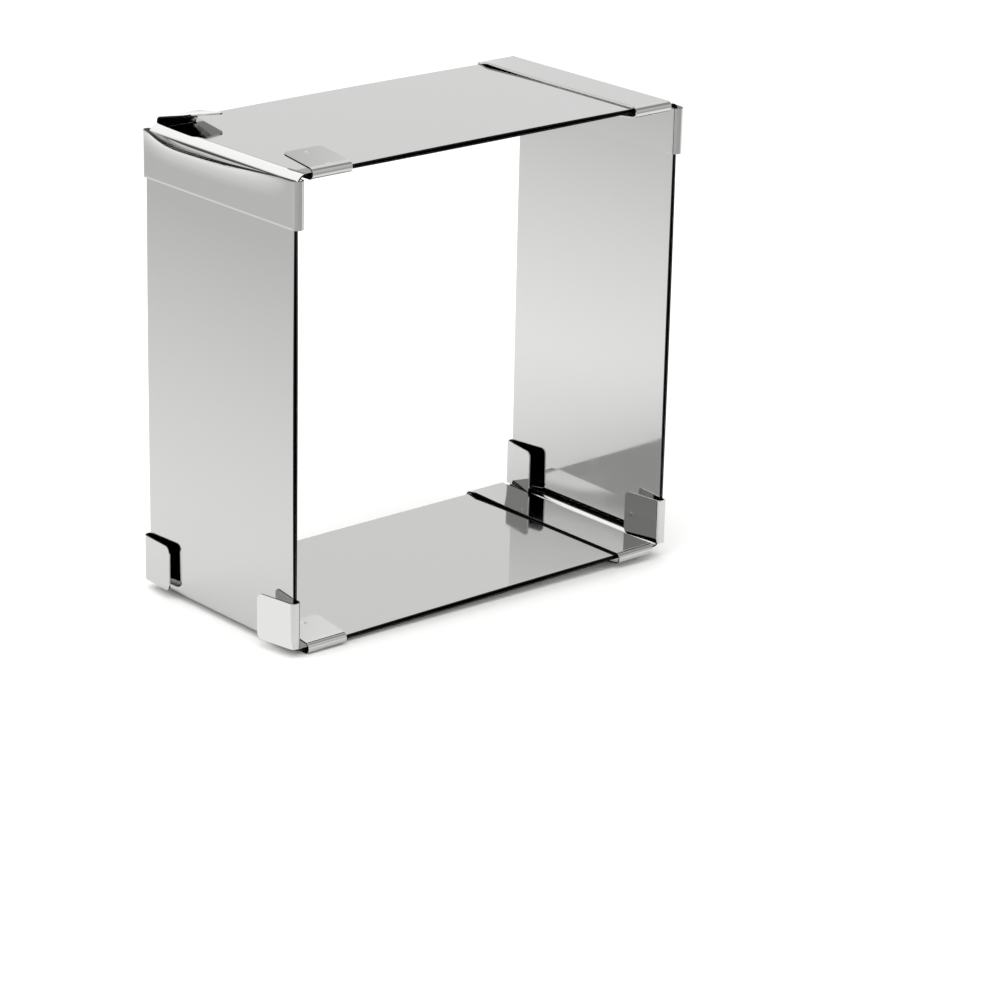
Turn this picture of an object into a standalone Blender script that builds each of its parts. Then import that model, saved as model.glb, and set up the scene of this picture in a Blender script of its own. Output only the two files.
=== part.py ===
"""Adjustable square cake frame of polished stainless sheet, standing on one side.

Four identical angle panels overlap in pairs along every side of the square.
A clamp welded to each free arm end folds round both edges of the sheet that
slides against it, so the square grows and shrinks in width and in height.
The origin is under the middle of the frame, with +X to the right and +Y back.
"""

import math

import bmesh
import bpy
from mathutils import Vector

# Sheet and fits, in metres.
SHEET = 0.0005
RUNNING_GAP = 0.0003

# Depth over the clamps, and how far the frame is opened beyond its closed size.
DEPTH = 0.080
WIDTH_OPENED = 0.0
HEIGHT_OPENED = 0.0

# Angle panel: each arm is measured from the panel's own outer corner.
ARM = 0.1538
BEND_RADIUS = 0.0023
BEND_STEPS = 8

# How far an arm's end stays from the face that it runs towards in the closed frame.
WIDTH_SETBACK = 0.0055
HEIGHT_SETBACK = 0.0024

# End clamp.
CLAMP_LENGTH = 0.0154
CLAMP_PLAY = 0.001
TAB_REACH = 0.0135
TAB_FLARE = math.radians(7.2)
TAB_CORNER_RADIUS = 0.002
FOLD_STEPS = 12
CORNER_STEPS = 5

# Broken edge left on the sheared sheet.
EDGE_BREAK = 0.00005

STEEL_COLOUR = (0.61, 0.61, 0.60, 1.0)
STEEL_ROUGHNESS = 0.07

# Sizes that follow from the ones above.
LAYER_STEP = SHEET + RUNNING_GAP
STACK = SHEET + LAYER_STEP
CLOSED_WIDTH = ARM + WIDTH_SETBACK
CLOSED_HEIGHT = ARM + HEIGHT_SETBACK
FOLD_INNER = (STACK + CLAMP_PLAY) / 2 + RUNNING_GAP
FOLD_MIDDLE = FOLD_INNER + SHEET / 2
FOLD_OUTER = FOLD_INNER + SHEET
FOLD_SINK = FOLD_INNER - RUNNING_GAP
SHEET_DEPTH = DEPTH - 2 * FOLD_OUTER
TAB_LENGTH = (TAB_REACH + FOLD_MIDDLE * math.sin(TAB_FLARE)) / math.cos(TAB_FLARE)
TAB_TIP = FOLD_OUTER * math.cos(TAB_FLARE) + TAB_LENGTH * math.sin(TAB_FLARE)
TAB_RISE = TAB_TIP + FOLD_SINK - STACK


def clear_scene():
    for obj in list(bpy.data.objects):
        bpy.data.objects.remove(obj, do_unlink=True)


def make_collection(name):
    collection = bpy.data.collections.new(name)
    bpy.context.scene.collection.children.link(collection)
    return collection


def make_steel(name):
    material = bpy.data.materials.new(name)
    material.use_nodes = True
    shader = material.node_tree.nodes["Principled BSDF"]
    shader.inputs["Base Color"].default_value = STEEL_COLOUR
    shader.inputs["Metallic"].default_value = 1.0
    shader.inputs["Roughness"].default_value = STEEL_ROUGHNESS
    material.diffuse_color = STEEL_COLOUR
    return material


def make_empty(name, collection, parent, location):
    empty = bpy.data.objects.new(name, None)
    empty.empty_display_size = CLAMP_LENGTH
    empty.location = location
    empty.parent = parent
    collection.objects.link(empty)
    return empty


def arc(centre, radius, start, stop, steps):
    """Points of a circular arc, as pairs, from one angle to the other."""
    points = []
    for step in range(steps + 1):
        angle = start + (stop - start) * step / steps
        x = centre[0] + radius * math.cos(angle)
        y = centre[1] + radius * math.sin(angle)
        points.append((x, y))
    return points


def panel_profile():
    """Outer face of the angle, seen along the depth: up one arm, then along the other."""
    centre = (BEND_RADIUS, BEND_RADIUS)
    bend = arc(centre, BEND_RADIUS, math.pi, 1.5 * math.pi, BEND_STEPS)
    return [(0.0, ARM)] + bend + [(ARM, 0.0)]


def clamp_half_profile():
    """Middle of the clamp's sheet, across the depth, from the front tab to mid-depth.

    Heights count from the face that the clamp is welded to, with the band above it.
    The play lies on the tabs' side, where the sliding sheet runs.
    """
    edge = -SHEET_DEPTH / 2
    centre = (edge, -FOLD_SINK)
    fold = arc(centre, FOLD_MIDDLE, 1.5 * math.pi - TAB_FLARE, 0.5 * math.pi, FOLD_STEPS)
    tab_root = fold[0]
    tab_end_y = tab_root[0] + TAB_LENGTH * math.cos(TAB_FLARE)
    tab_end_z = tab_root[1] - TAB_LENGTH * math.sin(TAB_FLARE)
    return [(tab_end_y, tab_end_z)] + fold + [(0.0, fold[-1][1])]


def sweep_profile(name, points, direction):
    """An open surface: the profile's edges, swept along one direction."""
    mesh = bpy.data.meshes.new(name)
    bm = bmesh.new()
    verts = [bm.verts.new(point) for point in points]
    edges = [bm.edges.new(pair) for pair in zip(verts, verts[1:])]
    swept = bmesh.ops.extrude_edge_only(bm, edges=edges)
    moved = [item for item in swept["geom"] if isinstance(item, bmesh.types.BMVert)]
    bmesh.ops.translate(bm, verts=moved, vec=direction)
    bm.to_mesh(mesh)
    bm.free()
    return mesh


def add_sheet_modifiers(obj, side):
    """Give the surface its sheet thickness and break its sheared edges."""
    solidify = obj.modifiers.new("sheet_thickness", "SOLIDIFY")
    solidify.thickness = SHEET
    solidify.offset = side
    solidify.use_even_offset = True
    bevel = obj.modifiers.new("broken_edges", "BEVEL")
    bevel.width = EDGE_BREAK
    bevel.segments = 1
    bevel.limit_method = "ANGLE"
    bevel.angle_limit = math.radians(50)


def finish_object(obj, collection):
    obj.data.materials.append(make_steel(obj.name + "_steel"))
    obj.data.shade_smooth()
    obj.data.set_sharp_from_angle(angle=math.radians(40))
    collection.objects.link(obj)


def make_panel(name, collection, parent, location, quarter_turns):
    """Angle panel: its outer-layer arm runs up and its inner-layer arm runs right."""
    points = [(x, -SHEET_DEPTH / 2, z) for x, z in panel_profile()]
    mesh = sweep_profile(name, points, Vector((0.0, SHEET_DEPTH, 0.0)))
    panel = bpy.data.objects.new(name, mesh)
    add_sheet_modifiers(panel, -1.0)
    panel.location = location
    panel.rotation_euler = (0.0, quarter_turns * math.pi / 2, 0.0)
    panel.parent = parent
    finish_object(panel, collection)
    return panel


def make_clamp(name, collection, panel, on_outer_arm):
    """End clamp: a band over the depth, a fold at both edges and two flared tabs."""
    points = [(-CLAMP_LENGTH, y, z) for y, z in clamp_half_profile()]
    mesh = sweep_profile(name, points, Vector((CLAMP_LENGTH, 0.0, 0.0)))
    clamp = bpy.data.objects.new(name, mesh)

    corners = clamp.vertex_groups.new(name="tab_corners")
    lowest = min(vertex.co.z for vertex in mesh.vertices)
    for vertex in mesh.vertices:
        if vertex.co.z - lowest < SHEET / 2:
            corners.add([vertex.index], 1.0, "REPLACE")

    mirror = clamp.modifiers.new("front_and_back", "MIRROR")
    mirror.use_axis = (False, True, False)
    mirror.merge_threshold = EDGE_BREAK
    rounding = clamp.modifiers.new("round_tab_corners", "BEVEL")
    rounding.affect = "VERTICES"
    rounding.width = TAB_CORNER_RADIUS
    rounding.segments = CORNER_STEPS
    rounding.limit_method = "VGROUP"
    rounding.vertex_group = corners.name
    add_sheet_modifiers(clamp, 0.0)

    if on_outer_arm:
        clamp.location = (0.0, 0.0, ARM)
        clamp.rotation_euler = (0.0, -math.pi / 2, 0.0)
    else:
        clamp.location = (ARM, 0.0, SHEET)
    clamp.parent = panel
    finish_object(clamp, collection)
    return clamp


def build():
    clear_scene()
    parts = make_collection("adjustable_cake_frame")
    frame = make_empty("cake_frame", parts, None, (0.0, 0.0, 0.0))
    height_slide = make_empty("height_slide", parts, frame, (0.0, 0.0, HEIGHT_OPENED))
    width_slide_bottom = make_empty("width_slide_bottom", parts, frame, (WIDTH_OPENED, 0.0, 0.0))
    width_slide_top = make_empty("width_slide_top", parts, height_slide, (WIDTH_OPENED, 0.0, 0.0))

    # Outer faces of the outer layer of sheets on the four sides.
    left = -CLOSED_WIDTH / 2
    right = CLOSED_WIDTH / 2
    bottom = TAB_RISE
    top = bottom + CLOSED_HEIGHT

    corners = (
        ("bottom_left", frame, (left, 0.0, bottom + LAYER_STEP), 0, "left_top", "bottom_right"),
        ("top_left", height_slide, (left + LAYER_STEP, 0.0, top), 1, "top_right", "left_bottom"),
        ("top_right", width_slide_top, (right, 0.0, top - LAYER_STEP), 2, "right_bottom", "top_left"),
        ("bottom_right", width_slide_bottom, (right - LAYER_STEP, 0.0, bottom), 3, "bottom_left", "right_top"),
    )
    for corner, parent, location, turns, outer_end, inner_end in corners:
        panel = make_panel("panel_" + corner, parts, parent, location, turns)
        make_clamp("clamp_" + outer_end, parts, panel, True)
        make_clamp("clamp_" + inner_end, parts, panel, False)


build()
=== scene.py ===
"""Looks of an adjustable square cake frame in mirror-polished stainless sheet.

The frame's four angle panels and eight end clamps are folded here from sheet
with fine bends, broken edges and pressed dimples, and stand for the solids of
the same sizes. Lengths are in metres, with +Z up, +X right and +Y back.
"""

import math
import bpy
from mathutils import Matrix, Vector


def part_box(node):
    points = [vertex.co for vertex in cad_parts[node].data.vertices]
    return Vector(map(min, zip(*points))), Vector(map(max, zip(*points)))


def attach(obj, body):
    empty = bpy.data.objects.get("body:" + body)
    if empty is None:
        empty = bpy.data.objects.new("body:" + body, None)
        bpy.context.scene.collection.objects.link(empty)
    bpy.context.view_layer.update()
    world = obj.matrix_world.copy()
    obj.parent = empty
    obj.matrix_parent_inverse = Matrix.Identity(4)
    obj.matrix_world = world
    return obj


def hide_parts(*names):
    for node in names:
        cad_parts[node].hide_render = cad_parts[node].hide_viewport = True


bl_info = {
    "name": "Adjustable Cake Frame",
    "version": (1, 0, 0),
    "blender": (4, 5, 0),
    "location": "3D View > Sidebar > Cake Frame",
    "description": "Folds the panels and clamps of an adjustable cake frame and sets its studio",
    "category": "Add Mesh",
}

import bmesh
import bpy
from mathutils import Euler, Vector

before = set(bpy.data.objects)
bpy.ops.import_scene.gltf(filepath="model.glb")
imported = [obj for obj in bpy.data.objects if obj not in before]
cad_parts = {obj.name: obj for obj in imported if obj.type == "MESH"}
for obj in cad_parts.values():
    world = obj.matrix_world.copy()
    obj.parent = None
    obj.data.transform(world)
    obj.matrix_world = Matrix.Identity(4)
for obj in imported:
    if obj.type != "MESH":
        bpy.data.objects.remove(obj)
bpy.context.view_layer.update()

# Each corner's body, panel and quarter turns, and the clamps on its outer-layer and
# inner-layer arms.
CORNERS = (
    ("corner_bottom_left", "panel_bottom_left", 0, "clamp_left_top", "clamp_bottom_right"),
    ("corner_top_left", "panel_top_left", 1, "clamp_top_right", "clamp_left_bottom"),
    ("corner_top_right", "panel_top_right", 2, "clamp_right_bottom", "clamp_top_left"),
    ("corner_bottom_right", "panel_bottom_right", 3, "clamp_bottom_left", "clamp_right_top"),
)

# Tabs that stand otherwise than the rest, in degrees at the clamp's inner end and at the
# arm's end.
FRONT_TAB_FLARES = {"clamp_left_bottom": (9.2, 9.4)}
BACK_TAB_FLARES = {
    "clamp_left_bottom": (3.4, 3.4),
    "clamp_right_bottom": (9.2, 9.2),
    "clamp_top_left": (8.0, 13.3),
}
# The panel whose bend sprang open more than the others.
WIDE_BEND_PANEL = "panel_top_left"

# The clamp whose upper edge has been bent out.
PRIED_CLAMP = "clamp_left_top"
# Where along the depth, from front to back, the pried edge stands out most.
PRIED_PEAK_SHARE = 0.72
# The power by which the prying fades from the arm's end along the clamp.
PRIED_FADE = 5.5
# How much lower the pried edge sits, against what the bending alone would do.
PRIED_DROP = 2.2

# Bands whose inner end has lifted at the back edge.
LIFTED_CLAMPS = ("clamp_top_right", "clamp_bottom_right")
# Where along the depth the lift starts and where it is greatest.
LIFT_START_SHARE = 0.5
LIFT_PEAK_SHARE = 0.96
# The power by which the lift fades from the inner end along the clamp.
LIFT_FADE = 3

# How finely the sheet is divided: over the depth, along an arm, where a clamp holds it,
# round a bend and a fold, and over the clamp's corners, dimples, edges and flat parts.
DEPTH_STEPS = 24
ARM_STEPS = 24
HOLD_STEPS = 8
BEND_STEPS = 24
FOLD_STEPS = 28
CORNER_STEPS = 8
DIMPLE_STEPS = 12
ROLL_STEPS = 4
FLAT_STEPS = 6
# Half the width of the finely divided strip over a dimple, in dimple widths.
DIMPLE_STRIP = 0.6

# Both ends of a blank's grid: a clamp's inner end and the arm's end.
INNER_END = -0.5
ARM_END = 0.5
GRID_TOLERANCE = 1e-4
# A rim takes the material that follows its face's own, and faces at a dark end the third.
RIM_OFFSET = 1
DARK_END_MATERIAL = 2
# Edges that turn by more than this are cut ones, and are rounded.
CUT_ANGLE = math.radians(50)
CUT_SEGMENTS = 2

# Pitches and heights of the patterns in the finishes, in metres.
RIPPLE_PITCH = 0.040
RIPPLE_HEIGHT = 0.00003
HAIRLINE_WIDTH = 0.0004
HAIRLINE_LENGTH = 0.012
HAIRLINE_HEIGHT = 0.000002
WIPED_PITCH = 0.015
TEAR_PITCH = 0.00015
TEAR_HEIGHT = 0.00002
PIT_PITCH = 0.0002
FIBRE_PITCH = 0.001
FIBRE_HEIGHT = 0.0001

# Directions in which the paper is darkened with painted shade, as if less light fell there, how
# much of that shade the left one takes, and where the front one starts and is full.
LEFT_SHADE_DIRECTION = (-1.0, -0.06, 0.0)
LEFT_SHADE_SHARE = 0.78
FRONT_SHADE_DIRECTION = (-0.35, -0.94, 0.0)
FRONT_SHADE_START = 0.10
FRONT_SHADE_END = 0.32
# The Mix node's sockets for colours go by number, since their names are used twice.
MIX_FACTOR, MIX_FIRST, MIX_SECOND, MIX_RESULT = 0, 6, 7, 2

# The flag behind the frame: its place, its two ends and its height.
FLAG_X = -0.30
FLAG_NEAR = 0.33
FLAG_FAR = 0.52
FLAG_HEIGHT = 0.07
FLAG_CLEARANCE = 0.004
# How steeply the light that the camera sees by two sides rises towards the flag.
FLAG_RISE = 0.555
# The back tab's flag: two opposite corners, and its brightness against the other flag's.
TAB_FLAG_LOW = Vector((-0.37, 0.85, 0.23))
TAB_FLAG_HIGH = Vector((-0.17, 0.85, 0.43))
TAB_FLAG_SHARE = 0.69
# The bounce card's two ends: the distance from the frame's side, and the front and back.
BOUNCE_NEAR, BOUNCE_NEAR_FRONT, BOUNCE_NEAR_BACK = 0.008, -0.045, -0.018
BOUNCE_FAR, BOUNCE_FAR_FRONT, BOUNCE_FAR_BACK = 0.16, 0.01, 0.08
# How far the card lies over the floor, and the floor under the frame.
CARD_LIFT = 0.0004
FLOOR_DROP = 0.00005

OVERHEAD_PLACE = (-0.25, -0.20, 1.10)
SIDE_PLACE = (-1.00, 0.05, 0.60)
SOFTBOX_SIZE = 0.9
# The camera's sensor in millimetres, and how far the camera sees.
SENSOR_WIDTH = 36.0
VIEW_DEPTH = 50.0

PANEL_LOW, PANEL_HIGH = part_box("panel_bottom_left")
CLAMP_LOW, CLAMP_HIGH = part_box("clamp_bottom_right")


def from_hex(text):
    """An sRGB hex colour as linear red, green and blue."""
    values = []
    for start in (1, 3, 5):
        share = int(text[start : start + 2], 16) / 255
        if share <= 0.04045:
            values.append(share / 12.92)
        else:
            values.append(((share + 0.055) / 1.055) ** 2.4)
    return tuple(values)


class SheetSizes(bpy.types.PropertyGroup):
    """Sizes of the stainless sheet and of the angle panels."""

    thickness: bpy.props.FloatProperty(
        name="Sheet Thickness",
        description="Thickness of every sheet",
        default=0.0005,
        min=0.0003,
        max=0.001,
        precision=5,
        unit="LENGTH",
    )
    gap: bpy.props.FloatProperty(
        name="Running Gap",
        description="Clearance between sheets that slide on each other",
        default=0.0003,
        min=0.0001,
        max=0.001,
        precision=5,
        unit="LENGTH",
    )
    arm: bpy.props.FloatProperty(
        name="Arm Length",
        description="Length of a panel's arm from the panel's own outer corner",
        default=PANEL_HIGH.x - PANEL_LOW.x,
        precision=5,
        unit="LENGTH",
    )
    depth: bpy.props.FloatProperty(
        name="Sheet Depth",
        description="Width of the sheet, across the frame's depth",
        default=PANEL_HIGH.y - PANEL_LOW.y,
        precision=5,
        unit="LENGTH",
    )
    bend_radius: bpy.props.FloatProperty(
        name="Bend Radius",
        description="Outside radius of the panel's corner bend",
        default=0.0023,
        min=0.001,
        max=0.004,
        precision=5,
        unit="LENGTH",
    )
    wide_bend_radius: bpy.props.FloatProperty(
        name="Wide Bend Radius",
        description="Outside radius of the one bend, at the upper left, that sprang open more",
        default=0.0038,
        min=0.001,
        max=0.0039,
        precision=5,
        unit="LENGTH",
    )
    outer_bow: bpy.props.FloatProperty(
        name="Outer Arm Bow",
        description="How far an outer-layer arm bows out at the middle of its length",
        default=0.00035,
        min=0.0,
        max=0.001,
        precision=5,
        unit="LENGTH",
    )
    inner_bow: bpy.props.FloatProperty(
        name="Inner Arm Bow",
        description="How far an inner-layer arm bows in at the middle of its length",
        default=0.00025,
        min=0.0,
        max=0.001,
        precision=5,
        unit="LENGTH",
    )
    pried: bpy.props.FloatProperty(
        name="Pried Edge",
        description="How far the upper edge of the upper left clamp has been bent out",
        default=0.0033,
        min=0.0,
        max=0.0045,
        precision=5,
        unit="LENGTH",
    )
    lift: bpy.props.FloatProperty(
        name="Lifted End",
        description="How far the inner end of two bands has lifted at the back edge",
        default=0.0006,
        min=0.0,
        max=0.001,
        precision=5,
        unit="LENGTH",
    )
    edge_break: bpy.props.FloatProperty(
        name="Edge Break",
        description="Width of the worn chamfer on the sheared edges",
        default=0.00005,
        min=0.00002,
        max=0.0001,
        precision=6,
        unit="LENGTH",
    )


class ClampSizes(bpy.types.PropertyGroup):
    """Sizes of the end clamps."""

    length: bpy.props.FloatProperty(
        name="Clamp Length",
        description="Length of a clamp along the arm",
        default=CLAMP_HIGH.x - CLAMP_LOW.x,
        precision=5,
        unit="LENGTH",
    )
    reach: bpy.props.FloatProperty(
        name="Tab Reach",
        description="How far a tab reaches in from the sheet's edge",
        default=0.0135,
        min=0.008,
        max=0.02,
        precision=5,
        unit="LENGTH",
    )
    play: bpy.props.FloatProperty(
        name="Clamp Play",
        description="Spare room between a clamp's tabs and the sheets that it holds",
        default=0.001,
        min=0.0,
        max=0.002,
        precision=5,
        unit="LENGTH",
    )
    flare: bpy.props.FloatProperty(
        name="Tab Flare",
        description="How far a tab opens away from the sheet under it",
        default=math.radians(7.2),
        min=0.0,
        max=math.radians(15),
        unit="ROTATION",
    )
    edge_round: bpy.props.FloatProperty(
        name="Tumbled Edge",
        description="Width of the rounding on a clamp's cut edges",
        default=0.00012,
        min=0.00002,
        max=0.0002,
        precision=6,
        unit="LENGTH",
    )
    roll_width: bpy.props.FloatProperty(
        name="Die Roll Width",
        description="Width of the strip along a clamp's edge that the die has drawn down",
        default=0.0007,
        min=0.0002,
        max=0.002,
        precision=5,
        unit="LENGTH",
    )
    roll_depth: bpy.props.FloatProperty(
        name="Die Roll Depth",
        description="How far that strip is drawn down at the edge, on the outer layer's clamps",
        default=0.00014,
        min=0.0,
        max=0.0003,
        precision=6,
        unit="LENGTH",
    )
    dimple_width: bpy.props.FloatProperty(
        name="Dimple Width",
        description="Width of the dimple that a tab presses on the sliding sheet",
        default=0.0019,
        min=0.001,
        max=0.003,
        precision=5,
        unit="LENGTH",
    )
    dimple_depth: bpy.props.FloatProperty(
        name="Dimple Depth",
        description="Depth of that dimple",
        default=0.00004,
        min=0.0,
        max=0.0003,
        precision=6,
        unit="LENGTH",
    )
    dimple_inset: bpy.props.FloatProperty(
        name="Dimple Inset",
        description="Distance of that dimple from the tab's free end",
        default=0.003,
        min=0.002,
        max=0.006,
        precision=5,
        unit="LENGTH",
    )
    corner_radius: bpy.props.FloatProperty(
        name="Tab Corner Radius",
        description="Radius of a tab's free corners",
        default=0.002,
        min=0.0005,
        max=0.004,
        precision=5,
        unit="LENGTH",
    )


class FinishColours(bpy.types.PropertyGroup):
    """Colours of the steel and of the studio."""

    polished: bpy.props.FloatVectorProperty(
        name="Polished Steel",
        description="Reflected colour of the polished faces",
        default=from_hex("#C7C7C6"),
        size=3,
        min=0.0,
        max=1.0,
        subtype="COLOR",
    )
    # Near-black: the sheared edge's own dull colour, together with painted shade of the gaps
    # between the sheets.
    sheared: bpy.props.FloatVectorProperty(
        name="Sheared Edge",
        description="Colour of the sheared edges of the panels",
        default=from_hex("#1E1E1F"),
        size=3,
        min=0.0,
        max=1.0,
        subtype="COLOR",
    )
    # Lighter than the polished steel: a painted highlight along the rounded cut edges.
    tumbled: bpy.props.FloatVectorProperty(
        name="Tumbled Edge",
        description="Colour of the rounded cut edges of the clamps",
        default=from_hex("#E0E0DE"),
        size=3,
        min=0.0,
        max=1.0,
        subtype="COLOR",
    )
    paper: bpy.props.FloatVectorProperty(
        name="Studio Paper",
        description="Colour of the floor",
        default=from_hex("#FBFBFA"),
        size=3,
        min=0.0,
        max=1.0,
        subtype="COLOR",
    )
    paper_shade: bpy.props.FloatVectorProperty(
        name="Paper Shade",
        description="Colour that the floor darkens to at its left and its front",
        default=from_hex("#AFAFAE"),
        size=3,
        min=0.0,
        max=1.0,
        subtype="COLOR",
    )


def arc(centre, radius, start, stop, steps):
    """Points of a circular arc, as pairs, from one angle to the other."""
    points = []
    for step in range(steps + 1):
        angle = start + (stop - start) * step / steps
        x = centre[0] + radius * math.cos(angle)
        y = centre[1] + radius * math.sin(angle)
        points.append((x, y))
    return points


def even_steps(start, stop, count):
    """Evenly spaced numbers from one end to just before the other."""
    return [start + (stop - start) * step / count for step in range(count)]


def shaped_blank(name, columns, rows, place, dark_ends=()):
    """A flat grid, one vertex for each column and row, moved to where place puts it.

    The faces along the ends named take the material of a dark end.
    """
    bm = bmesh.new()
    bmesh.ops.create_grid(bm, x_segments=len(columns) - 1, y_segments=len(rows) - 1, size=0.5)
    for face in bm.faces:
        for end in dark_ends:
            if any(abs(vertex.co.x - end) < GRID_TOLERANCE for vertex in face.verts):
                face.material_index = DARK_END_MATERIAL
    for vertex in bm.verts:
        column = columns[round((vertex.co.x + 0.5) * (len(columns) - 1))]
        row = rows[round((vertex.co.y + 0.5) * (len(rows) - 1))]
        vertex.co = place(column, row)
    mesh = bpy.data.meshes.new(name)
    bm.to_mesh(mesh)
    bm.free()
    return mesh


def pried_share(depth_share, end_share):
    """How much of the full prying a point shows.

    It goes by the point's share of the depth and, towards the arm's end, of the clamp.
    """
    if depth_share < PRIED_PEAK_SHARE:
        across = depth_share / PRIED_PEAK_SHARE
    else:
        across = (1 - depth_share) / (1 - PRIED_PEAK_SHARE)
    across = max(0.0, across)
    return across * (2 - across) * max(0.0, end_share) ** PRIED_FADE


def lifted_share(depth_share, start_share):
    """How much of the full lift a point of the band shows, most near the inner end's back."""
    if depth_share < LIFT_PEAK_SHARE:
        rising = (depth_share - LIFT_START_SHARE) / (LIFT_PEAK_SHARE - LIFT_START_SHARE)
        across = max(0.0, rising) ** 2
    else:
        across = (1 - depth_share) / (1 - LIFT_PEAK_SHARE)
    return across * max(0.0, 1 - start_share) ** LIFT_FADE


def make_sheet_metal(obj, thickness, side, edge):
    """Thicken an open surface to sheet, with cut rims and broken edges."""
    solidify = obj.modifiers.new("sheet_thickness", "SOLIDIFY")
    solidify.thickness = thickness
    solidify.offset = side
    solidify.use_even_offset = True
    solidify.material_offset_rim = RIM_OFFSET
    bevel = obj.modifiers.new("broken_edges", "BEVEL")
    bevel.width = edge
    bevel.segments = CUT_SEGMENTS
    bevel.limit_method = "ANGLE"
    bevel.angle_limit = CUT_ANGLE
    normals = obj.modifiers.new("flat_face_normals", "WEIGHTED_NORMAL")
    normals.keep_sharp = True
    obj.data.shade_smooth()


def link_piece(obj):
    bpy.context.scene.collection.objects.link(obj)
    return obj


def add_node(tree, kind, settings=None, inputs=None, links=None):
    """One shader node with its settings, fixed inputs and incoming links."""
    node = tree.nodes.new(kind)
    for name, value in (settings or {}).items():
        setattr(node, name, value)
    for name, value in (inputs or {}).items():
        node.inputs[name].default_value = value
    for name, source in (links or {}).items():
        tree.links.new(source, node.inputs[name])
    return node


def new_material(name):
    material = bpy.data.materials.new(name)
    material.use_nodes = True
    tree = material.node_tree
    tree.nodes.clear()
    output = tree.nodes.new("ShaderNodeOutputMaterial")
    return material, tree, output


def mirror_polished_stainless(colour):
    """Cold-rolled stainless sheet, buffed to a mirror.

    It gives the eye a clear, slightly soft reflection: the sheet is never quite
    flat, and buffing leaves hairlines along it and faint wiped patches.
    """
    material, tree, output = new_material("mirror_polished_stainless")
    place = add_node(tree, "ShaderNodeTexCoord").outputs["Object"]
    # Rolled sheet ripples over about 40 mm, far too little to see but in its reflections.
    ripple = add_node(
        tree,
        "ShaderNodeTexNoise",
        inputs={"Scale": 1 / RIPPLE_PITCH, "Detail": 1.0, "Roughness": 0.4},
        links={"Vector": place},
    )
    # Hairlines of the buffing wheel are some 0.02 mm wide. Here they are 0.4 mm, as too
    # fine a line wouldn't show.
    stretched = add_node(
        tree,
        "ShaderNodeMapping",
        inputs={"Scale": (1 / HAIRLINE_WIDTH, 1 / HAIRLINE_LENGTH, 1 / HAIRLINE_WIDTH)},
        links={"Vector": place},
    )
    hairline = add_node(
        tree,
        "ShaderNodeTexNoise",
        inputs={"Scale": 1.0, "Detail": 2.0, "Roughness": 0.6},
        links={"Vector": stretched.outputs["Vector"]},
    )
    # Wiped patches, about 15 mm across.
    wiped = add_node(
        tree,
        "ShaderNodeTexNoise",
        inputs={"Scale": 1 / WIPED_PITCH, "Detail": 3.0, "Roughness": 0.55},
        links={"Vector": place},
    )
    roughness = add_node(
        tree,
        "ShaderNodeMapRange",
        inputs={"From Min": 0.35, "From Max": 0.75, "To Min": 0.035, "To Max": 0.085},
        links={"Value": wiped.outputs["Fac"]},
    )
    ripple_bump = add_node(
        tree,
        "ShaderNodeBump",
        inputs={"Strength": 1.0, "Distance": RIPPLE_HEIGHT},
        links={"Height": ripple.outputs["Fac"]},
    )
    hairline_bump = add_node(
        tree,
        "ShaderNodeBump",
        inputs={"Strength": 0.15, "Distance": HAIRLINE_HEIGHT},
        links={"Height": hairline.outputs["Fac"], "Normal": ripple_bump.outputs["Normal"]},
    )
    shader = add_node(
        tree,
        "ShaderNodeBsdfPrincipled",
        inputs={"Base Color": (*colour, 1.0), "Metallic": 1.0},
        links={
            "Roughness": roughness.outputs["Result"],
            "Normal": hairline_bump.outputs["Normal"],
        },
    )
    tree.links.new(shader.outputs["BSDF"], output.inputs["Surface"])
    return material


def sheared_edge_with_gap_shade(colour):
    """Edge of stainless sheet as the shear left it, darkened with painted shade.

    It gives the eye a thin dark line: half of it is torn and dull, half is burnished, and
    its near-black colour also paints the shade in the gaps between and under the sheets.
    """
    material, tree, output = new_material("sheared_edge_with_gap_shade")
    place = add_node(tree, "ShaderNodeTexCoord").outputs["Object"]
    # Tear marks stand about 0.15 mm apart along the cut.
    tears = add_node(
        tree,
        "ShaderNodeTexNoise",
        inputs={"Scale": 1 / TEAR_PITCH, "Detail": 1.0, "Roughness": 0.5},
        links={"Vector": place},
    )
    roughness = add_node(
        tree,
        "ShaderNodeMapRange",
        inputs={"From Min": 0.3, "From Max": 0.7, "To Min": 0.38, "To Max": 0.6},
        links={"Value": tears.outputs["Fac"]},
    )
    bump = add_node(
        tree,
        "ShaderNodeBump",
        inputs={"Strength": 0.4, "Distance": TEAR_HEIGHT},
        links={"Height": tears.outputs["Fac"]},
    )
    shader = add_node(
        tree,
        "ShaderNodeBsdfPrincipled",
        inputs={"Base Color": (*colour, 1.0), "Metallic": 1.0},
        links={"Roughness": roughness.outputs["Result"], "Normal": bump.outputs["Normal"]},
    )
    tree.links.new(shader.outputs["BSDF"], output.inputs["Surface"])
    return material


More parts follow.
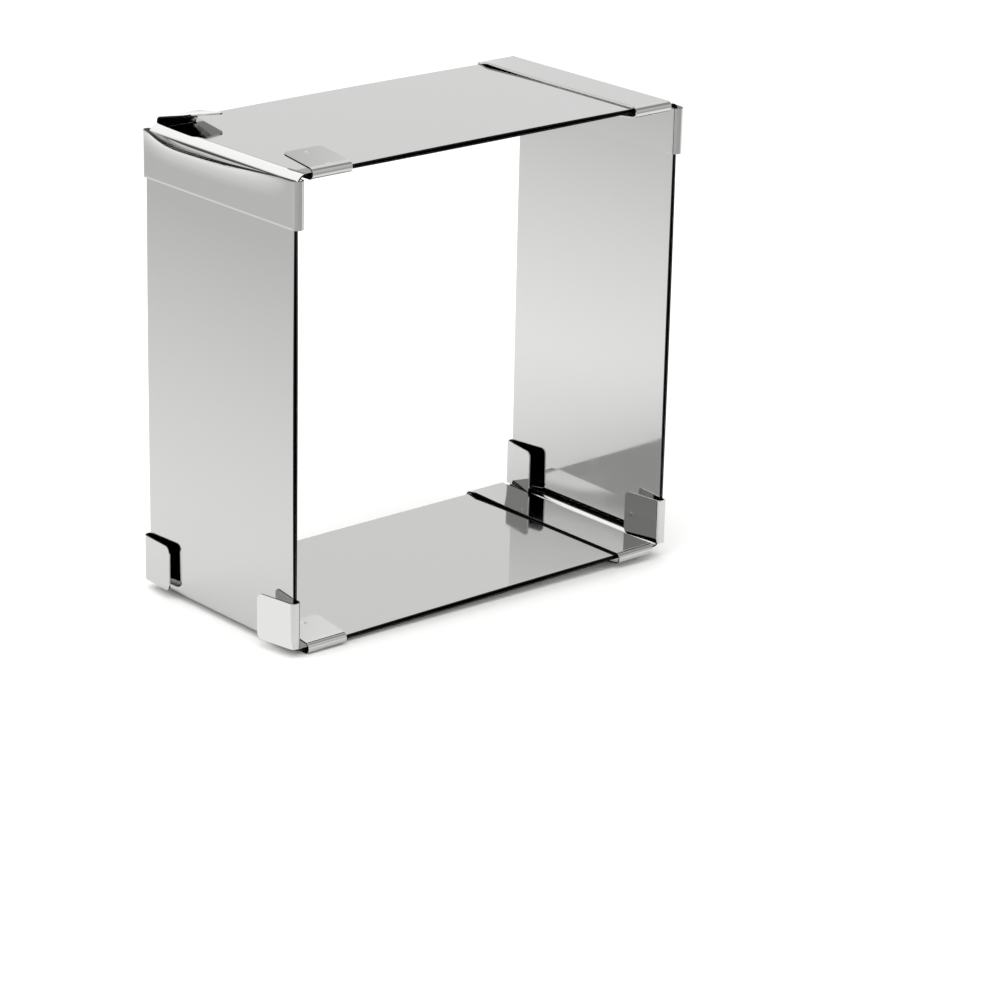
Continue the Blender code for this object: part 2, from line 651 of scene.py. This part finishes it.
def tumbled_edge_with_painted_highlight(colour):
    """Cut edge of a stainless stamping after tumbling in fine stones, with a painted highlight.

    It gives the eye a soft light line: the rounded edge spreads what it reflects, and its
    colour, lighter than the polished steel, paints a highlight along it.
    """
    material, tree, output = new_material("tumbled_edge_with_painted_highlight")
    place = add_node(tree, "ShaderNodeTexCoord").outputs["Object"]
    # The stones leave pits about 0.2 mm apart.
    pits = add_node(
        tree,
        "ShaderNodeTexNoise",
        inputs={"Scale": 1 / PIT_PITCH, "Detail": 1.0, "Roughness": 0.5},
        links={"Vector": place},
    )
    roughness = add_node(
        tree,
        "ShaderNodeMapRange",
        inputs={"From Min": 0.3, "From Max": 0.7, "To Min": 0.28, "To Max": 0.42},
        links={"Value": pits.outputs["Fac"]},
    )
    shader = add_node(
        tree,
        "ShaderNodeBsdfPrincipled",
        inputs={"Base Color": (*colour, 1.0), "Metallic": 1.0},
        links={"Roughness": roughness.outputs["Result"]},
    )
    tree.links.new(shader.outputs["BSDF"], output.inputs["Surface"])
    return material


def graduated_studio_paper(colour, shade, near, far):
    """Matt white paper with painted shade, darker towards its left and its front as if less
    light fell there.

    It gives the eye a clean white ground, while the polished faces mirror the painted shade.
    """
    material, tree, output = new_material("matt_paper_with_painted_shade")
    place = add_node(tree, "ShaderNodeTexCoord").outputs["Object"]

    def sprayed(base, direction, start, stop, share):
        """The colour so far, with painted shade along one direction over the paper."""
        along = add_node(
            tree,
            "ShaderNodeVectorMath",
            {"operation": "DOT_PRODUCT"},
            inputs={1: direction},
            links={0: place},
        )
        amount = add_node(
            tree,
            "ShaderNodeMapRange",
            inputs={"From Min": start, "From Max": stop, "To Min": 0.0, "To Max": share},
            links={"Value": along.outputs["Value"]},
        )
        mixed = add_node(
            tree,
            "ShaderNodeMix",
            {"data_type": "RGBA"},
            inputs={MIX_SECOND: (*shade, 1.0)},
            links={MIX_FACTOR: amount.outputs["Result"], MIX_FIRST: base},
        )
        return mixed.outputs[MIX_RESULT]

    clean = add_node(tree, "ShaderNodeRGB")
    clean.outputs[0].default_value = (*colour, 1.0)
    # Painted shade: the paper darkens towards its left and then towards its front.
    left = sprayed(clean.outputs[0], LEFT_SHADE_DIRECTION, near, far, LEFT_SHADE_SHARE)
    front = sprayed(left, FRONT_SHADE_DIRECTION, FRONT_SHADE_START, FRONT_SHADE_END, 1.0)
    # The painted shade is left out of what the camera sees directly, so the paper shows white
    # in the picture itself, as a studio does with its ground.
    seen = add_node(tree, "ShaderNodeLightPath").outputs["Is Camera Ray"]
    mixed = add_node(
        tree,
        "ShaderNodeMix",
        {"data_type": "RGBA"},
        inputs={MIX_SECOND: (*colour, 1.0)},
        links={MIX_FACTOR: seen, MIX_FIRST: front},
    )
    # Fibres of the paper, about 1 mm apart.
    fibres = add_node(
        tree,
        "ShaderNodeTexNoise",
        inputs={"Scale": 1 / FIBRE_PITCH, "Detail": 2.0},
        links={"Vector": place},
    )
    bump = add_node(
        tree,
        "ShaderNodeBump",
        inputs={"Strength": 0.05, "Distance": FIBRE_HEIGHT},
        links={"Height": fibres.outputs["Fac"]},
    )
    shader = add_node(
        tree,
        "ShaderNodeBsdfPrincipled",
        inputs={"Roughness": 0.9, "Specular IOR Level": 0.1},
        links={"Base Color": mixed.outputs[MIX_RESULT], "Normal": bump.outputs["Normal"]},
    )
    tree.links.new(shader.outputs["BSDF"], output.inputs["Surface"])
    return material


def glowing_card(name, brightness):
    """Matt card of an even brightness, seen only in the polished steel.

    By way of the lower side, a grey one gives the eye the darker foot of the right side
    and another the dark image of its back tab. A white one gives it the light face of the
    lower left clamp's front tab.
    """
    material, tree, output = new_material(name)
    glow = add_node(tree, "ShaderNodeEmission", inputs={"Strength": brightness})
    tree.links.new(glow.outputs["Emission"], output.inputs["Surface"])
    return material


def steel_material(finish, colour):
    """One finish of the sheet, made once and shared by the pieces that have it."""
    material = bpy.data.materials.get(finish.__name__)
    if material is None:
        material = finish(tuple(colour))
    return material


def panel_corner(node, turns):
    """The panel's outer corner at mid-depth, read from its solid's box."""
    low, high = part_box(node)
    x = low.x if turns in (0, 1) else high.x
    z = low.z if turns in (0, 3) else high.z
    return Vector((x, (low.y + high.y) / 2, z))


class CAKEFRAME_OT_panels(bpy.types.Operator):
    """Bend the four angle panels, each from one sheet with two equal arms"""

    bl_idname = "cakeframe.panels"
    bl_label = "Bend Angle Panels"

    def execute(self, context):
        scene = context.scene
        sizes = scene.cakeframe_sheet
        colours = scene.cakeframe_colours
        hold = scene.cakeframe_clamp.length
        polished = steel_material(mirror_polished_stainless, colours.polished)
        sheared = steel_material(sheared_edge_with_gap_shade, colours.sheared)
        arm = sizes.arm
        depth_shares = even_steps(0.0, 1.0, DEPTH_STEPS) + [1.0]

        for body, node, turns, outer, _ in CORNERS:
            # The profile runs down the outer-layer arm, round the bend and along the other.
            radius = sizes.wide_bend_radius if node == WIDE_BEND_PANEL else sizes.bend_radius
            straight = arm - radius
            bend = arc((radius, radius), radius, math.pi, 1.5 * math.pi, BEND_STEPS)
            down = even_steps(arm, arm - hold, HOLD_STEPS)
            down += even_steps(arm - hold, radius, ARM_STEPS)
            profile = [(0.0, z) for z in down] + bend + [(z, 0.0) for z in reversed(down)]
            pried = sizes.pried if outer == PRIED_CLAMP else 0.0

            def place(point, share):
                """A point of the profile, bowed and pried, at its share of the depth."""
                x, z = point
                out = sizes.outer_bow * math.sin(math.pi * max(0.0, z - radius) / straight)
                inward = sizes.inner_bow * math.sin(math.pi * max(0.0, x - radius) / straight)
                curl = pried * pried_share(share, (z - arm + hold) / hold)
                drop = PRIED_DROP * curl**2 / hold
                return (x - out - curl, (share - 0.5) * sizes.depth, z + inward - drop)

            mesh = shaped_blank("bent_" + node, profile, depth_shares, place)
            mesh.materials.append(polished)
            # The panels' rims take the sheared edge, whose near-black colour is partly painted
            # shade of the gaps between the sheets.
            mesh.materials.append(sheared)
            panel = link_piece(bpy.data.objects.new("bent_" + node, mesh))
            make_sheet_metal(panel, sizes.thickness, 1.0, sizes.edge_break)
            panel.location = panel_corner(node, turns)
            panel.rotation_euler = (0.0, turns * math.pi / 2, 0.0)
            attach(panel, body)
            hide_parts(node)
        return {"FINISHED"}


def clamp_rows(clamp):
    """Rows of a clamp's flat blank from the front tab's free end to the back one's.

    A tab's rows hold the distance from its free end, and the others a share of the way.
    """
    strip = clamp.dimple_width * DIMPLE_STRIP
    before = clamp.dimple_inset - strip
    after = clamp.dimple_inset + strip
    turns = even_steps(0.0, math.pi / 2, CORNER_STEPS)
    lengths = [clamp.corner_radius * (1 - math.cos(turn)) for turn in turns]
    lengths = [length for length in lengths if length < before]
    lengths += even_steps(before, after, DIMPLE_STEPS)
    lengths += even_steps(after, clamp.reach, FLAT_STEPS)
    tab = [("tab", length) for length in lengths]
    fold = [("fold", share) for share in even_steps(0.0, 1.0, FOLD_STEPS)]
    front = [(kind, 0, value) for kind, value in tab + fold]
    band = [("band", 0, share) for share in even_steps(0.0, 1.0, DEPTH_STEPS) + [1.0]]
    back = [(kind, 1, value) for kind, value in reversed(tab + fold)]
    return front + band + back


def clamp_place(sheet, clamp, flares, pried, lift, roll_depth):
    """A function that takes a column and a row of the blank to a place in the folded clamp."""
    stack = 2 * sheet.thickness + sheet.gap
    inner = (stack + clamp.play) / 2 + sheet.gap
    middle = inner + sheet.thickness / 2
    sink = inner - sheet.gap
    half = sheet.depth / 2
    radius = clamp.corner_radius

    def place(column, row):
        kind, back, value = row
        side = 1 if back else -1
        flare = math.radians(flares[back][0] + (flares[back][1] - flares[back][0]) * column)
        start = 1.5 * math.pi - flare
        x = (column - 1) * clamp.length
        if kind == "band":
            curl = pried * pried_share(value, column)
            drop = PRIED_DROP * curl**2 / clamp.length
            edge = min(column, 1 - column) * clamp.length / clamp.roll_width
            roll = roll_depth * max(0.0, 1 - edge) ** 2
            rise = curl - roll + lift * lifted_share(value, column)
            return (x - drop, (value - 0.5) * sheet.depth, middle - sink + rise)
        if kind == "fold":
            angle = start + (0.5 * math.pi - start) * value
            y = -half + middle * math.cos(angle)
            return (x, -side * y, middle * math.sin(angle) - sink)
        # A tab: straight from the fold to its free end, with round corners and a dimple.
        length = (clamp.reach + middle * math.sin(flare)) / math.cos(flare)
        along = length - value
        y = -half + middle * math.cos(start) + along * math.cos(flare)
        z = middle * math.sin(start) - along * math.sin(flare) - sink
        if value < radius:
            inset = radius - math.sqrt(radius**2 - (radius - value) ** 2)
            x = -inset - (1 - column) * (clamp.length - 2 * inset)
        away = math.hypot(x + clamp.length / 2, value - clamp.dimple_inset)
        off = away / (clamp.dimple_width / 2)
        if off < 1:
            z += clamp.dimple_depth * (1 - off**2) ** 2
        return (x, -side * y, z)

    return place


class CAKEFRAME_OT_clamps(bpy.types.Operator):
    """Fold the eight end clamps, each a band over the depth with two flared tabs"""

    bl_idname = "cakeframe.clamps"
    bl_label = "Fold End Clamps"

    def execute(self, context):
        scene = context.scene
        sheet = scene.cakeframe_sheet
        clamp = scene.cakeframe_clamp
        colours = scene.cakeframe_colours
        polished = steel_material(mirror_polished_stainless, colours.polished)
        tumbled = steel_material(tumbled_edge_with_painted_highlight, colours.tumbled)
        sheared = steel_material(sheared_edge_with_gap_shade, colours.sheared)

        # Columns stand closer at the drawn-down ends, and over the dimples at mid-length.
        dimple = clamp.dimple_width * DIMPLE_STRIP / clamp.length
        roll = clamp.roll_width / clamp.length
        columns = even_steps(0.0, roll, ROLL_STEPS)
        columns += even_steps(roll, 0.5 - dimple, FLAT_STEPS)
        columns += even_steps(0.5 - dimple, 0.5, DIMPLE_STEPS // 2)
        columns += [0.5] + [1 - column for column in reversed(columns)]
        rows = clamp_rows(clamp)
        usual = (math.degrees(clamp.flare), math.degrees(clamp.flare))

        for body, node, turns, outer, inner in CORNERS:
            corner = panel_corner(node, turns)
            turned = Euler((0.0, turns * math.pi / 2, 0.0)).to_matrix()
            on_outer = (outer, Vector((0.0, 0.0, sheet.arm)), turns - 1)
            on_inner = (inner, Vector((sheet.arm, 0.0, sheet.thickness)), turns)
            for name, arm_end, clamp_turns in (on_outer, on_inner):
                flares = (FRONT_TAB_FLARES.get(name, usual), BACK_TAB_FLARES.get(name, usual))
                pried = sheet.pried if name == PRIED_CLAMP else 0.0
                lift = sheet.lift if name in LIFTED_CLAMPS else 0.0
                roll_depth = clamp.roll_depth if name == outer else 0.0
                place = clamp_place(sheet, clamp, flares, pried, lift, roll_depth)
                # The band and its arm are trimmed together, so the rim at the arm's end is a
                # sheared
                # # edge, and on the inner layer's clamps the inner end's is too; its near-black
                # colour also
                # # paints the shade in the gap beside the band. Faces at a dark end have the
                # third finish,
                # # polished like the first, and their rim the fourth.
                dark_ends = (INNER_END, ARM_END) if name == inner else (ARM_END,)
                mesh = shaped_blank("folded_" + name, columns, rows, place, dark_ends)
                for finish in (polished, tumbled, polished, sheared):
                    mesh.materials.append(finish)
                piece = link_piece(bpy.data.objects.new("folded_" + name, mesh))
                make_sheet_metal(piece, sheet.thickness, 0.0, clamp.edge_round)
                piece.location = corner + turned @ arm_end
                piece.rotation_euler = (0.0, clamp_turns * math.pi / 2, 0.0)
                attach(piece, body)
                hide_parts(name)
        return {"FINISHED"}


class StudioSizes(bpy.types.PropertyGroup):
    """Camera, lights, cards and floor of the studio."""

    camera_place: bpy.props.FloatVectorProperty(
        name="Camera Place",
        description="Where the camera stands",
        default=(-0.74860, -0.89417, 0.45471),
        size=3,
        precision=4,
        subtype="TRANSLATION",
    )
    camera_turn: bpy.props.FloatVectorProperty(
        name="Camera Turn",
        description="Heading, downward pitch and roll of the camera",
        default=(math.radians(41.39), math.radians(20.13), math.radians(1.33)),
        size=3,
        subtype="EULER",
    )
    lens: bpy.props.FloatProperty(
        name="Lens",
        description="Focal length on a 36 mm wide sensor, in millimetres",
        default=133.7,
        min=20.0,
        max=300.0,
    )
    floor_size: bpy.props.FloatProperty(
        name="Floor Size",
        description="Side of the paper floor",
        default=12.0,
        unit="LENGTH",
    )
    shade_start: bpy.props.FloatProperty(
        name="Shade Start",
        description="Distance to the left at which the floor starts to darken",
        default=0.09,
        unit="LENGTH",
    )
    shade_end: bpy.props.FloatProperty(
        name="Shade End",
        description="Distance to the left at which the floor is darkest",
        default=0.40,
        unit="LENGTH",
    )
    wall: bpy.props.FloatProperty(
        name="Tent Wall",
        description="Brightness of the tent's low wall behind the frame, to the right",
        default=0.95,
        min=0.0,
        max=4.0,
    )
    dark_foot: bpy.props.FloatProperty(
        name="Dark Foot of the Tent",
        description="Brightness of the gap under the tent's wall behind the frame, to the left",
        default=0.12,
        min=0.0,
        max=4.0,
    )
    lit_panel: bpy.props.FloatProperty(
        name="Lit Panel",
        description="Brightness of the tent's lit panel, over the low wall behind the frame",
        default=1.58,
        min=0.0,
        max=4.0,
    )
    seam: bpy.props.FloatProperty(
        name="Tent Seam",
        description="Brightness of the upright seam to the right of the lit panel",
        default=0.75,
        min=0.0,
        max=4.0,
    )
    mouth: bpy.props.FloatProperty(
        name="Tent Mouth",
        description="Brightness of the tent's dim opening, at the front right",
        default=0.42,
        min=0.0,
        max=4.0,
    )
    flag: bpy.props.FloatProperty(
        name="Flag",
        description="Brightness of the grey flag behind the frame, to the left",
        default=0.70,
        min=0.0,
        max=4.0,
    )
    bounce: bpy.props.FloatProperty(
        name="Bounce Card",
        description="Brightness of the white card that lies at the frame's lower left",
        default=1.36,
        min=0.0,
        max=4.0,
    )
    roof: bpy.props.FloatProperty(
        name="Tent Roof",
        description="Brightness of the tent's roof",
        default=1.35,
        min=0.0,
        max=4.0,
    )
    overhead: bpy.props.FloatProperty(
        name="Overhead Softbox",
        description="Power of the softbox that lights the floor from above, in watts",
        default=3.1,
        min=0.0,
        max=100.0,
    )
    side: bpy.props.FloatProperty(
        name="Side Softbox",
        description="Power of the softbox that lights the floor from the left, in watts",
        default=3.5,
        min=0.0,
        max=100.0,
    )


def white_light_tent(studio):
    """The surround: a white tent, lit behind the frame and open and dim at the front right.

    It gives the eye broad pale reflections, bright bends and a dark streak along each fold.
    """
    world = bpy.data.worlds.new("white_light_tent")
    world.use_nodes = True
    tree = world.node_tree
    tree.nodes.clear()
    output = tree.nodes.new("ShaderNodeOutputWorld")
    direction = add_node(tree, "ShaderNodeTexCoord").outputs["Generated"]
    axes = add_node(tree, "ShaderNodeSeparateXYZ", links={"Vector": direction})
    # Heading counts from straight back towards the right, and height from the horizon.
    heading = add_node(
        tree,
        "ShaderNodeMath",
        {"operation": "ARCTAN2"},
        links={0: axes.outputs["X"], 1: axes.outputs["Y"]},
    ).outputs["Value"]
    height = add_node(
        tree, "ShaderNodeMath", {"operation": "ARCSINE"}, links={0: axes.outputs["Z"]}
    ).outputs["Value"]

    def fade(angle, start, stop, before, after):
        """One brightness up to an angle in degrees and another past it.

        Either brightness may be a number or a socket.
        """
        numbers = {"From Min": math.radians(start), "From Max": math.radians(stop)}
        sockets = {"Value": angle}
        for name, value in (("To Min", before), ("To Max", after)):
            if isinstance(value, bpy.types.NodeSocket):
                sockets[name] = value
            else:
                numbers[name] = value
        smooth = {"interpolation_type": "SMOOTHSTEP"}
        node = add_node(tree, "ShaderNodeMapRange", smooth, numbers, sockets)
        return node.outputs["Result"]

    # The foot of the tent is dark behind the frame, to the left, and the lit panel hangs
    # lower than the cloth to the left of it.
    foot = fade(heading, -54, -47, 4 * studio.dark_foot, studio.lit_panel)
    foot = fade(height, 13, 23, studio.dark_foot, foot)
    # The low wall, from the left to the right: where each part starts and is full.
    low = fade(heading, -100, -80, 0.9 * studio.wall, foot)
    for start, full, brightness in (
        (-36, -20, studio.wall),
        (70, 90, 0.8 * studio.wall),
    ):
        low = fade(heading, start, full, low, brightness)
    # Above it, in the same way: the lit panel, the seam, the cloth, the mouth and the wall.
    middle = fade(heading, -100, -80, 0.95 * studio.wall, 0.9 * studio.roof)
    for start, full, brightness in (
        (-46, -42, studio.lit_panel),
        (27, 30, studio.seam),
        (41, 44, 0.88 * studio.roof),
        (54, 64, 0.81 * studio.roof),
        (92, 100, studio.mouth),
        (130, 138, 0.95 * studio.wall),
    ):
        middle = fade(heading, start, full, middle, brightness)
    radiance = fade(height, 23, 27, low, middle)
    radiance = fade(height, 50, 60, radiance, studio.roof)
    # Seen past the paper, the tent is plain white, and only the polished steel shows its parts.
    seen = add_node(tree, "ShaderNodeLightPath").outputs["Is Camera Ray"]
    shown = add_node(
        tree,
        "ShaderNodeMapRange",
        inputs={"To Max": 1.0},
        links={"Value": seen, "To Min": radiance},
    )
    background = add_node(
        tree,
        "ShaderNodeBackground",
        inputs={"Color": (1.0, 1.0, 1.0, 1.0)},
        links={"Strength": shown.outputs["Result"]},
    )
    tree.links.new(background.outputs["Background"], output.inputs["Surface"])
    return world


def flat_piece(name, corners, material):
    """A piece of the studio with one flat face."""
    bm = bmesh.new()
    bm.faces.new([bm.verts.new(corner) for corner in corners])
    mesh = bpy.data.meshes.new(name)
    bm.to_mesh(mesh)
    bm.free()
    mesh.materials.append(material)
    return link_piece(bpy.data.objects.new(name, mesh))


class CAKEFRAME_OT_stage(bpy.types.Operator):
    """Lay the paper floor and set the cards, the light tent, the softboxes and the camera"""

    bl_idname = "cakeframe.stage"
    bl_label = "Set Studio"

    def execute(self, context):
        scene = context.scene
        studio = scene.cakeframe_studio
        colours = scene.cakeframe_colours
        scene.view_settings.view_transform = "Standard"

        # The standing frame rests on the tab edges at its lower right and on the
        # lower left clamp's band, which is higher, so the floor meets both at a slope.
        band_low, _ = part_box("clamp_bottom_left")
        tab_low, tab_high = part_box("clamp_bottom_right")
        radius = scene.cakeframe_clamp.corner_radius
        left = Vector((band_low.x, 0.0, band_low.z))
        right = Vector((tab_low.x + radius, 0.0, tab_low.z))
        slope = math.atan2(left.z - right.z, right.x - left.x)

        # The paper carries painted shade, which only the polished steel mirrors.
        paper = graduated_studio_paper(
            tuple(colours.paper), tuple(colours.paper_shade), studio.shade_start, studio.shade_end
        )
        half = studio.floor_size / 2
        sheet = ((-half, -half, 0.0), (half, -half, 0.0), (half, half, 0.0), (-half, half, 0.0))
        floor = flat_piece("paper_floor", sheet, paper)
        floor.rotation_euler = (0.0, slope, 0.0)
        floor.location = right - Vector((0.0, 0.0, FLOOR_DROP))

        # The flag hides the left wall from the lower side's top face, but not from the right
        # side's foot.
        top = tab_low.z + FLAG_RISE * (tab_high.x - FLAG_X) + FLAG_CLEARANCE
        flag_corners = (
            (FLAG_X, FLAG_NEAR, top - FLAG_HEIGHT),
            (FLAG_X, FLAG_FAR, top - FLAG_HEIGHT),
            (FLAG_X, FLAG_FAR, top),
            (FLAG_X, FLAG_NEAR, top),
        )
        # The other flag darkens the lower right clamp's back tab, as the lower side mirrors it.
        low, high = TAB_FLAG_LOW, TAB_FLAG_HIGH
        tab_flag_corners = (low, (high.x, low.y, low.z), high, (low.x, low.y, high.z))
        # The bounce card lies on the paper beside the frame's lower left front corner.
        bounce_corners = [
            (left.x - away, y, left.z + CARD_LIFT + math.tan(slope) * away)
            for away, y in (
                (BOUNCE_NEAR, BOUNCE_NEAR_FRONT),
                (BOUNCE_NEAR, BOUNCE_NEAR_BACK),
                (BOUNCE_FAR, BOUNCE_FAR_BACK),
                (BOUNCE_FAR, BOUNCE_FAR_FRONT),
            )
        ]
        for name, corners, brightness in (
            ("grey_flag", flag_corners, studio.flag),
            ("tab_flag", tab_flag_corners, TAB_FLAG_SHARE * studio.flag),
            ("bounce_card", bounce_corners, studio.bounce),
        ):
            card = flat_piece(name, corners, glowing_card(name + "_face", brightness))
            card.visible_camera = False
            card.visible_diffuse = False
            card.visible_shadow = False

        scene.world = white_light_tent(studio)

        for name, power, place in (
            ("overhead_softbox", studio.overhead, OVERHEAD_PLACE),
            ("side_softbox", studio.side, SIDE_PLACE),
        ):
            data = bpy.data.lights.new(name, "AREA")
            data.shape = "SQUARE"
            data.size = SOFTBOX_SIZE
            data.energy = power
            softbox = link_piece(bpy.data.objects.new(name, data))
            softbox.location = place
            softbox.rotation_euler = (-softbox.location).to_track_quat("-Z", "Y").to_euler()
            softbox.visible_glossy = False

        camera_data = bpy.data.cameras.new("studio_camera")
        camera_data.lens = studio.lens
        camera_data.sensor_width = SENSOR_WIDTH
        camera_data.clip_end = VIEW_DEPTH
        camera = link_piece(bpy.data.objects.new("studio_camera", camera_data))
        heading, pitch, roll = studio.camera_turn
        turn = Euler((math.pi / 2 - pitch, 0.0, -heading)).to_matrix()
        camera.rotation_euler = (turn @ Euler((0.0, 0.0, roll)).to_matrix()).to_euler()
        camera.location = studio.camera_place
        scene.camera = camera
        return {"FINISHED"}


class CAKEFRAME_PT_sidebar(bpy.types.Panel):
    """Sizes, colours and steps of the cake frame"""

    bl_idname = "CAKEFRAME_PT_sidebar"
    bl_label = "Cake Frame"
    bl_space_type = "VIEW_3D"
    bl_region_type = "UI"
    bl_category = "Cake Frame"

    def draw(self, context):
        scene = context.scene
        for group_name, group_type in GROUPS:
            column = self.layout.column(align=True)
            for name in group_type.__annotations__:
                column.prop(getattr(scene, group_name), name)
        self.layout.operator(CAKEFRAME_OT_panels.bl_idname)
        self.layout.operator(CAKEFRAME_OT_clamps.bl_idname)
        self.layout.operator(CAKEFRAME_OT_stage.bl_idname)


GROUPS = (
    ("cakeframe_sheet", SheetSizes),
    ("cakeframe_clamp", ClampSizes),
    ("cakeframe_colours", FinishColours),
    ("cakeframe_studio", StudioSizes),
)
CLASSES = (
    CAKEFRAME_OT_panels,
    CAKEFRAME_OT_clamps,
    CAKEFRAME_OT_stage,
    CAKEFRAME_PT_sidebar,
)


def register():
    for name, group in GROUPS:
        bpy.utils.register_class(group)
        setattr(bpy.types.Scene, name, bpy.props.PointerProperty(type=group))
    for item in CLASSES:
        bpy.utils.register_class(item)


def unregister():
    for item in reversed(CLASSES):
        bpy.utils.unregister_class(item)
    for name, group in reversed(GROUPS):
        delattr(bpy.types.Scene, name)
        bpy.utils.unregister_class(group)


def main():
    register()
    bpy.ops.cakeframe.panels()
    bpy.ops.cakeframe.clamps()
    bpy.ops.cakeframe.stage()


if __name__ == "__main__":
    main()
